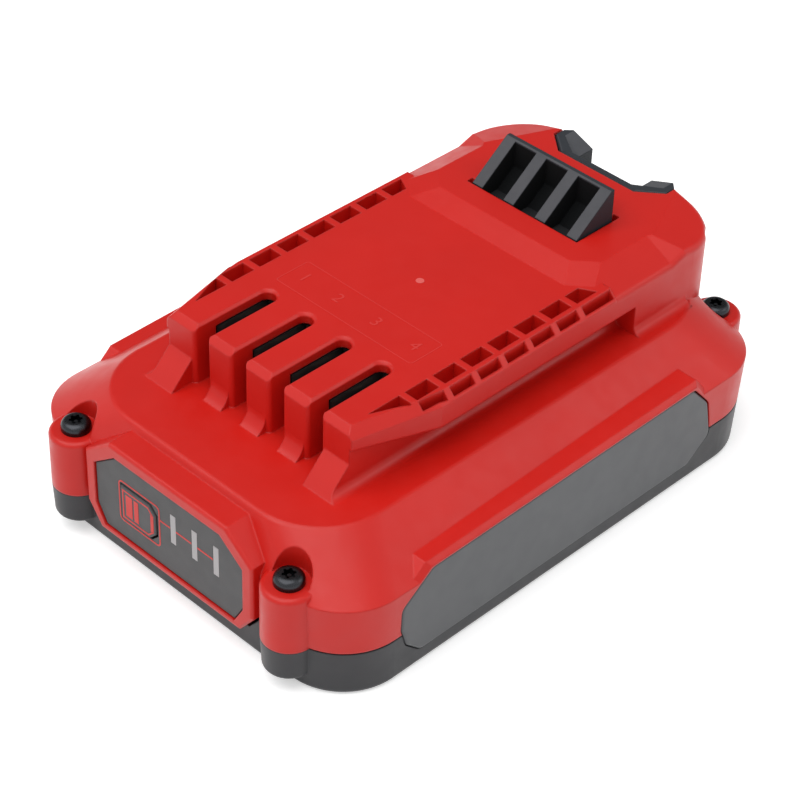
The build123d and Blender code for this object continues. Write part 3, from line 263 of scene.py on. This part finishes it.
def moulded(name, colour, roughness, grain=0.12, spread=0.05, edge=0.0, coat=0.0, strength=0.12):
    """Moulded plastic: fine grain, faint flow clouds in the colour and uneven gloss."""
    finish = Finish(name)
    finish.shader.inputs["Specular IOR Level"].default_value = PLASTIC_GLOSS
    clouds = finish.ramp(finish.noise(CLOUDS, 3.0), 0.3, 0.7)
    darker = tuple(c * (1.0 - spread) for c in colour)
    lighter = tuple(min(1.0, c * (1.0 + spread)) for c in colour)
    finish.paint(finish.mix(clouds, darker, lighter), "Base Color")
    patches = finish.ramp(finish.noise(GLOSS_PATCHES, 2.0), 0.3, 0.7)
    finish.paint(finish.span(patches, roughness - 0.04, roughness + 0.05), "Roughness")
    soft = finish.soft_edges(edge * MM) if edge else None
    height = finish.noise(1.0 / (grain * MM), 2.0, 0.6)
    finish.paint(finish.bump(height, strength, 0.05 * MM, soft), "Normal")
    if coat:
        finish.shader.inputs["Coat Weight"].default_value = coat
        finish.shader.inputs["Coat Roughness"].default_value = 0.25
    return finish.material


def metal(name, colour, roughness, grain=0.2):
    """Drawn or rolled metal with a fine uneven shine."""
    finish = Finish(name)
    finish.shader.inputs["Metallic"].default_value = 1.0
    streaks = finish.ramp(finish.noise(1.0 / (grain * MM), 3.0), 0.35, 0.65)
    darker = tuple(c * 0.85 for c in colour)
    finish.paint(finish.mix(streaks, darker, colour), "Base Color")
    finish.paint(finish.span(streaks, roughness, roughness + 0.12), "Roughness")
    finish.paint(finish.bump(streaks, 0.08, 0.02 * MM), "Normal")
    return finish.material


def latch_plastic():
    """Black moulding: the faces in the ramp's plane and the thumb scoops' sloped faces are painted lighter
    grey, and the bays are painted near-black as shade in the recesses.
    """
    finish = Finish("latch_charcoal")
    run, climb = WEDGE_REAR - WEDGE_TOE, WEDGE_TOP - HOUSING_TOP
    across = Vector((0.0, -climb, run)).normalized()
    plane = across.dot(Vector((0.0, WEDGE_TOE, HOUSING_TOP)))
    depth = finish.place_along(across)
    # The faces in the ramp's plane and the thumb scoops' sloped faces are painted lighter grey, with a
    # grain
    ramp_face = finish.math("MULTIPLY", finish.ramp(finish.facing(across), 0.93, 0.99),
                            finish.ramp(depth, (plane - 0.3) * MM, (plane - 0.1) * MM))
    scoops = finish.math("MAXIMUM", finish.ramp(finish.facing((0.4, 0.0, 0.9)), 0.9, 0.99),
                         finish.ramp(finish.facing((-0.4, 0.0, 0.9)), 0.9, 0.99))
    pale = finish.math("MAXIMUM", ramp_face, scoops)
    grain = finish.ramp(finish.noise(PALE_GREY_GRAIN, 3.0), 0.3, 0.75)
    pale_grained = finish.math("MULTIPLY", pale, finish.span(grain, 0.8, 1.0))
    # Painted shade: the bays, sunk below the ramp's plane between the ribs, are painted near-black
    sideways = finish.math("ABSOLUTE", finish.place_along((1.0, 0.0, 0.0)), 0.0)
    between = finish.ramp(sideways, (BAY_HALF_WIDTH + 0.15) * MM, BAY_HALF_WIDTH * MM)
    ahead = finish.ramp(finish.place_along((0.0, 1.0, 0.0)),
                        (WEDGE_REAR + 0.1) * MM, (WEDGE_REAR - 0.1) * MM)
    sunk = finish.ramp(depth, (plane - 0.1) * MM, (plane - 0.3) * MM)
    bay_shade_mask = finish.math("MULTIPLY", finish.math("MULTIPLY", between, ahead), sunk)
    skin_and_bay_shade = finish.mix(bay_shade_mask, LATCH_SKIN, LATCH_BAY_SHADE)
    finish.paint(finish.mix(pale_grained, skin_and_bay_shade, LATCH_PALE_GREY), "Base Color")
    finish.shader.inputs["Specular IOR Level"].default_value = LATCH_GLOSS
    matt = finish.math("MAXIMUM", bay_shade_mask, finish.math("MULTIPLY", pale_grained, 0.25))
    finish.paint(finish.span(matt, 0.40, 0.95), "Roughness")
    soft = finish.soft_edges(0.35 * MM)
    finish.paint(finish.bump(finish.noise(LATCH_GRAIN, 2.0), 0.15, 0.04 * MM, soft), "Normal")
    return finish.material


red_shell = moulded("red_shell", RED, 0.36, grain=0.16, spread=0.03, edge=0.45, strength=0.06)
tray_plastic = moulded("tray_charcoal", TRAY_GREY, 0.42, grain=0.14, edge=0.4)
panel_plastic = moulded("side_panel_charcoal", CHARCOAL, 0.40, spread=0.03, edge=0.3, strength=0.08)
gauge_plastic = moulded("gauge_panel_charcoal", (0.064, 0.064, 0.066), 0.50, grain=0.10, strength=0.2)
button_plastic = moulded("button_charcoal", (0.063, 0.063, 0.066), 0.48, grain=0.10, spread=0.06, edge=0.15)
print_red = moulded("gauge_print_red", (0.62, 0.035, 0.030), 0.45, grain=0.06, spread=0.04)
# The moulded field's lines and the digits are the shell's own plastic; their pinker red is a painted
# highlight on the raised lines
mark_highlight_red = moulded("moulded_mark_painted_highlight", (0.62, 0.035, 0.03), 0.40, grain=0.08, spread=0.04)
gate_pink = moulded("gate_mark", (0.70, 0.11, 0.10), 0.5, grain=0.05, spread=0.06)
light_bar = moulded("light_bar_milky", (0.40, 0.385, 0.39), 0.35, grain=0.2, spread=0.03)
black_plastic = moulded("black_plastic", (0.018, 0.018, 0.019), 0.45, grain=0.1)
white_plastic = moulded("holder_natural", (0.62, 0.61, 0.57), 0.5, grain=0.15)
cell_sleeve = moulded("cell_sleeve_blue", (0.03, 0.14, 0.34), 0.28, grain=0.5, spread=0.08, coat=0.4)
card = moulded("card_ring", (0.55, 0.50, 0.40), 0.85, grain=0.08, spread=0.12, strength=0.3)
board_green = moulded("solder_mask_green", (0.012, 0.11, 0.045), 0.3, grain=0.3, spread=0.12, coat=0.3)
epoxy = moulded("moulded_epoxy", (0.014, 0.014, 0.015), 0.55, grain=0.05)
film = moulded("insulating_film", (0.09, 0.09, 0.075), 0.3, grain=0.4)
foam = moulded("closed_cell_foam", (0.03, 0.03, 0.03), 0.95, grain=0.35, spread=0.2, strength=0.8)
ribbon = moulded("ribbon_cable", (0.60, 0.60, 0.58), 0.45, grain=0.3)
clear = moulded("clear_lens", (0.72, 0.72, 0.70), 0.15, grain=0.4, spread=0.02)
spring_wire = metal("spring_wire", (0.56, 0.55, 0.53), 0.22)
nickel = metal("nickel_strip", (0.60, 0.58, 0.53), 0.3)
clip_metal = metal("tinned_clip", (0.66, 0.58, 0.44), 0.25)
can_metal = metal("capacitor_can", (0.45, 0.46, 0.50), 0.35)
screw_metal = metal("black_zinc", (0.045, 0.047, 0.052), 0.24, grain=0.15)

finishes = {
    "upper_housing": red_shell,
    "lower_housing": tray_plastic,
    "side_panel_right": panel_plastic,
    "side_panel_left": panel_plastic,
    "latch": latch_plastic(),
    "latch_springs": spring_wire,
    "gauge_panel": gauge_plastic,
    "gauge_button": button_plastic,
    "gauge_light_pipes": light_bar,
    "gauge_board": board_green,
    "gauge_leds": clear,
    "gauge_switch_body": epoxy,
    "gauge_switch_plunger": white_plastic,
    "gauge_cable": ribbon,
    "cell_rings": card,
    "cell_holder_right": white_plastic,
    "cell_holder_left": white_plastic,
    "insulator_right": film,
    "insulator_left": film,
    "main_board": board_green,
    "board_screws": screw_metal,
    "board_mosfets": epoxy,
    "board_controller": epoxy,
    "board_capacitors": can_metal,
    "board_fuse": epoxy,
    "terminal_block": black_plastic,
    "thermistor": epoxy,
    "foam_pads": foam,
    "case_screws": screw_metal,
}
for node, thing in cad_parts.items():
    if node.startswith("cell_") and node not in finishes:
        finishes[node] = cell_sleeve
    elif node.startswith(("link_", "lead_")):
        finishes[node] = nickel
    elif node.startswith("terminal_clip"):
        finishes[node] = clip_metal
    thing.data.materials.clear()
    thing.data.materials.append(finishes[node])


# Printed and moulded marks lie on these planes
UPRIGHT = Matrix.Rotation(math.pi / 2, 4, "X")
ON_TOP = Matrix.Translation((0, 0, TOWER_TOP * MM))
ON_PANEL = Matrix.Translation((0, -PANEL_FACE * MM, 0)) @ UPRIGHT
ON_BUTTON = Matrix.Translation((0, -BUTTON_FACE * MM, 0)) @ UPRIGHT


def new_object(name, mesh):
    thing = bpy.data.objects.new(name, mesh)
    bpy.context.scene.collection.objects.link(thing)
    return thing


def new_piece(name, mesh, finish, body):
    """An object of its own that rides on a CAD body."""
    mesh.materials.append(finish)
    piece = new_object(name, mesh)
    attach(piece, body)
    return piece


def mesh_of(name, shape):
    mesh = bpy.data.meshes.new(name)
    shape.to_mesh(mesh)
    shape.free()
    return mesh


def flat_shape(sheet, outline, corner=0.0, band=0.0):
    """A filled outline in millimetres, or only a band of it, added to a flat sheet."""
    corners = [sheet.verts.new((u * MM, v * MM, 0)) for u, v in outline]
    face = sheet.faces.new(corners)
    face.normal_update()
    if corner:
        known = set(sheet.faces) - {face}
        bmesh.ops.bevel(sheet, geom=corners, offset=corner * MM, affect="VERTICES", segments=5,
                        profile=0.5, material=-1)
        face = max((f for f in sheet.faces if f not in known), key=lambda f: f.calc_area())
    if band:
        bmesh.ops.inset_region(sheet, faces=[face], thickness=band * MM, use_boundary=True,
                               use_even_offset=True)
        bmesh.ops.delete(sheet, geom=[face], context="FACES")


def rectangle(left, right, low, high):
    return [(left, low), (right, low), (right, high), (left, high)]


def cut_rectangle(left, right, low, high, cut):
    """A rectangle with its two right corners cut off."""
    return [(left, low), (right - cut, low), (right, low + cut), (right, high - cut),
            (right - cut, high), (left, high)]


def finish_mark(name, sheet, thickness, place, body, finish):
    """Raises the flat shapes by a small thickness and sets them on their surface."""
    raised = bmesh.ops.extrude_face_region(sheet, geom=sheet.faces[:])
    tops = [v for v in raised["geom"] if isinstance(v, bmesh.types.BMVert)]
    bmesh.ops.translate(sheet, verts=tops, vec=(0, 0, thickness * MM))
    bmesh.ops.recalc_face_normals(sheet, faces=sheet.faces[:])
    bmesh.ops.transform(sheet, matrix=place, verts=sheet.verts[:])
    new_piece(name, mesh_of(name, sheet), finish, body)


def gauge_print():
    left, right, low, high = BUTTON
    start = right + FRAME_WIDE_MARGIN
    sheet = bmesh.new()
    flat_shape(sheet, rectangle(left - FRAME_MARGIN, start, low - FRAME_MARGIN, high + FRAME_WIDE_MARGIN),
               corner=FRAME_CORNER, band=INK_LINE)
    for x in LIGHT_PLACES:
        flat_shape(sheet, rectangle(start, x - LIGHT_WIDTH / 2, LEADER_MIDDLE - LEADER_HALF_WIDTH,
                                    LEADER_MIDDLE + LEADER_HALF_WIDTH))
        start = x + LIGHT_WIDTH / 2
    finish_mark("gauge_print", sheet, INK_HEIGHT, ON_PANEL, "case", print_red)


def button_print():
    """A battery sign with two bars of charge, of a generic kind."""
    left, right, low, high = BUTTON
    sheet = bmesh.new()
    outline = cut_rectangle(left + SIGN_SIDE_MARGIN, right - SIGN_SIDE_MARGIN, low + SIGN_END_MARGIN,
                            high - SIGN_END_MARGIN, SIGN_CORNER)
    flat_shape(sheet, outline, band=INK_LINE)
    for near, far in CHARGE_BARS:
        flat_shape(sheet, rectangle(left + near, left + far, low + CHARGE_BAR_MARGIN,
                                    high - CHARGE_BAR_MARGIN))
    far, near = POLE_BAR
    flat_shape(sheet, rectangle(right - far, right - near, low + POLE_BAR_MARGIN, high - POLE_BAR_MARGIN))
    finish_mark("button_print", sheet, INK_HEIGHT, ON_BUTTON, "charge_button", print_red)


def terminal_label():
    sheet = bmesh.new()
    flat_shape(sheet, rectangle(*LABEL_FIELD), corner=LABEL_CORNER, band=LABEL_LINE)
    # Pinker red on the raised lines: a painted highlight
    finish_mark("terminal_label_field", sheet, LABEL_HEIGHT, ON_TOP, "case", mark_highlight_red)


def terminal_digit(text, x):
    """A moulded digit on the tower's top, so that each terminal can be named."""
    curve = bpy.data.curves.new("digit_" + text, "FONT")
    curve.body = text
    curve.size = DIGIT_SIZE * MM
    curve.align_x = "CENTER"
    curve.align_y = "CENTER"
    curve.extrude = DIGIT_HALF_HEIGHT * MM
    curve.resolution_u = DIGIT_CURVE_STEPS
    scratch = new_object("scratch", curve)
    bpy.context.view_layer.update()
    shape = scratch.evaluated_get(bpy.context.evaluated_depsgraph_get())
    mesh = bpy.data.meshes.new_from_object(shape)
    bpy.data.objects.remove(scratch)
    bpy.data.curves.remove(curve)
    mesh.transform(Matrix.Translation((x * MM, DIGIT_MIDDLE * MM, (TOWER_TOP + DIGIT_HALF_HEIGHT) * MM)))
    mesh.materials.clear()
    # Pinker red on the digit: a painted highlight
    new_piece("terminal_digit_" + text, mesh, mark_highlight_red, "case")


def gate_mark():
    """A low round pip where the mould's gate was."""
    x, y = GATE_PLACE
    sheet = bmesh.new()
    bmesh.ops.create_circle(sheet, cap_ends=True, segments=20, radius=GATE_RADIUS * MM)
    bmesh.ops.inset_region(sheet, faces=sheet.faces[:], thickness=GATE_RIM * MM, use_boundary=True)
    place = Matrix.Translation((x * MM, y * MM, 0)) @ ON_TOP
    finish_mark("gate_mark", sheet, GATE_HEIGHT, place, "case", gate_pink)


def latch_coils():
    """The two springs under the latch, as coils."""
    height = SPRING_HIGH - SPRING_LOW
    steps = SPRING_TURNS * TURN_STEPS
    on_edge = Matrix.Rotation(math.pi / 2, 3, "X")
    coils = bmesh.new()
    for x in SPRING_PLACES:
        start = ((x + SPRING_RADIUS) * MM, SPRING_Y * MM, (SPRING_LOW + SPRING_WIRE / 2) * MM)
        end = bmesh.ops.create_circle(coils, cap_ends=True, segments=WIRE_SIDES,
                                      radius=SPRING_WIRE / 2 * MM)["verts"]
        bmesh.ops.rotate(coils, verts=end, cent=(0, 0, 0), matrix=on_edge)
        bmesh.ops.translate(coils, verts=end, vec=start)
        rim = {edge for vert in end for edge in vert.link_edges}
        cap = {face for vert in end for face in vert.link_faces}
        bmesh.ops.spin(coils, geom=end + list(rim) + list(cap), cent=(x * MM, SPRING_Y * MM, 0),
                       axis=(0, 0, 1), dvec=(0, 0, (height - SPRING_WIRE) * MM / steps),
                       angle=SPRING_TURNS * math.tau, steps=steps, use_merge=False, use_duplicate=False)
    bmesh.ops.recalc_face_normals(coils, faces=coils.faces[:])
    for face in coils.faces:
        face.smooth = len(face.verts) == 4
    name = "latch_spring_coils"
    piece = new_piece(name, mesh_of(name, coils), spring_wire, "case")
    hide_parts("latch_springs")
    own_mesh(piece)


def seen_rays(nodes, links):
    """1 for the rays that see the background, straight or in gloss and clear plastic, else 0."""
    path = nodes.new("ShaderNodeLightPath")
    seen = path.outputs["Is Camera Ray"]
    for kind in ("Is Glossy Ray", "Is Transmission Ray"):
        either = nodes.new("ShaderNodeMath")
        either.operation = "MAXIMUM"
        links.new(seen, either.inputs[0])
        links.new(path.outputs[kind], either.inputs[1])
        seen = either.outputs["Value"]
    return seen


def stage_floor():
    """A pale floor that keeps the shadow and looks white beside it."""
    sheet = bmesh.new()
    bmesh.ops.create_grid(sheet, x_segments=1, y_segments=1, size=FLOOR_SIZE)
    floor = new_object("floor", mesh_of("floor", sheet))
    floor.location.z = cad_low.z - FLOOR_DROP * MM
    finish = Finish("studio_floor")
    finish.shader.inputs["Base Color"].default_value = (FLOOR_WHITE, FLOOR_WHITE, FLOOR_WHITE, 1.0)
    finish.shader.inputs["Roughness"].default_value = 0.9
    finish.shader.inputs["Specular IOR Level"].default_value = 0.1
    glow = finish.nodes.new("ShaderNodeEmission")
    glow.inputs["Color"].default_value = (1.0, 1.0, 1.0, 1.0)
    seen = finish.math("MULTIPLY", seen_rays(finish.nodes, finish.links), FLOOR_GLOW)
    finish.link(seen, glow.inputs["Strength"])
    both = finish.nodes.new("ShaderNodeAddShader")
    finish.link(finish.shader.outputs["BSDF"], both.inputs[0])
    finish.link(glow.outputs["Emission"], both.inputs[1])
    out = finish.nodes["Material Output"]
    finish.link(both.outputs["Shader"], out.inputs["Surface"])
    floor.data.materials.append(finish.material)


def studio_world():
    """A white studio with one dark upper corner, which keeps the flat tops deep in colour."""
    world = bpy.data.worlds.new("studio")
    bpy.context.scene.world = world
    world.use_nodes = True
    nodes, links = world.node_tree.nodes, world.node_tree.links
    background = nodes["Background"]
    background.inputs["Color"].default_value = (1.0, 1.0, 1.0, 1.0)
    coords = nodes.new("ShaderNodeTexCoord")
    towards = nodes.new("ShaderNodeVectorMath")
    towards.operation = "DOT_PRODUCT"
    links.new(coords.outputs["Generated"], towards.inputs[0])
    towards.inputs[1].default_value = Vector(DARK_CORNER).normalized()
    walls = nodes.new("ShaderNodeMapRange")
    walls.interpolation_type = "SMOOTHSTEP"
    walls.inputs["From Min"].default_value, walls.inputs["From Max"].default_value = CORNER_EDGE
    walls.inputs["To Max"].default_value = CORNER_LIGHT
    links.new(towards.outputs["Value"], walls.inputs["Value"])
    level = nodes.new("ShaderNodeMapRange")
    level.inputs["To Min"].default_value = ROOM_LIGHT
    level.inputs["To Max"].default_value = 1.0
    links.new(seen_rays(nodes, links), level.inputs["Value"])
    links.new(level.outputs["Result"], walls.inputs["To Min"])
    links.new(walls.outputs["Result"], background.inputs["Strength"])


def softbox(name, place, size, power):
    lamp = bpy.data.lights.new(name, "AREA")
    lamp.shape = "RECTANGLE"
    lamp.size, lamp.size_y = size
    lamp.energy = power
    box = new_object(name, lamp)
    box.location = place
    box.rotation_euler = (Vector(LAMP_AIM) - Vector(place)).to_track_quat("-Z", "Y").to_euler()


def photo_camera():
    """The camera of the photograph, from its azimuth, elevation, roll and distance."""
    azimuth, elevation, roll = (math.radians(v) for v in (CAMERA_AZIMUTH, CAMERA_ELEVATION, CAMERA_ROLL))
    back = Vector((math.sin(azimuth) * math.cos(elevation), -math.cos(azimuth) * math.cos(elevation),
                   math.sin(elevation)))
    across = (-back).cross(Vector((0, 0, 1))).normalized()
    up = across.cross(-back)
    right_hand = across * math.cos(roll) + up * math.sin(roll)
    upward = up * math.cos(roll) - across * math.sin(roll)
    lens = bpy.data.cameras.new("photo_camera")
    lens.sensor_width = CAMERA_SENSOR
    lens.lens = CAMERA_LENS
    lens.clip_start = 0.01
    camera = new_object("photo_camera", lens)
    place = Matrix.Translation((Vector(CAMERA_TARGET) + back * CAMERA_DISTANCE) * MM)
    camera.matrix_world = place @ Matrix((right_hand, upward, back)).transposed().to_4x4()
    bpy.context.scene.camera = camera


gauge_print()
button_print()
terminal_label()
for number, x in enumerate(DIGIT_PLACES, start=1):
    terminal_digit(str(number), x)
gate_mark()
latch_coils()
stage_floor()
studio_world()
for name, (place, size, power) in SOFTBOXES.items():
    softbox(name, place, size, power)
photo_camera()
bpy.context.scene.view_settings.view_transform = "Standard"
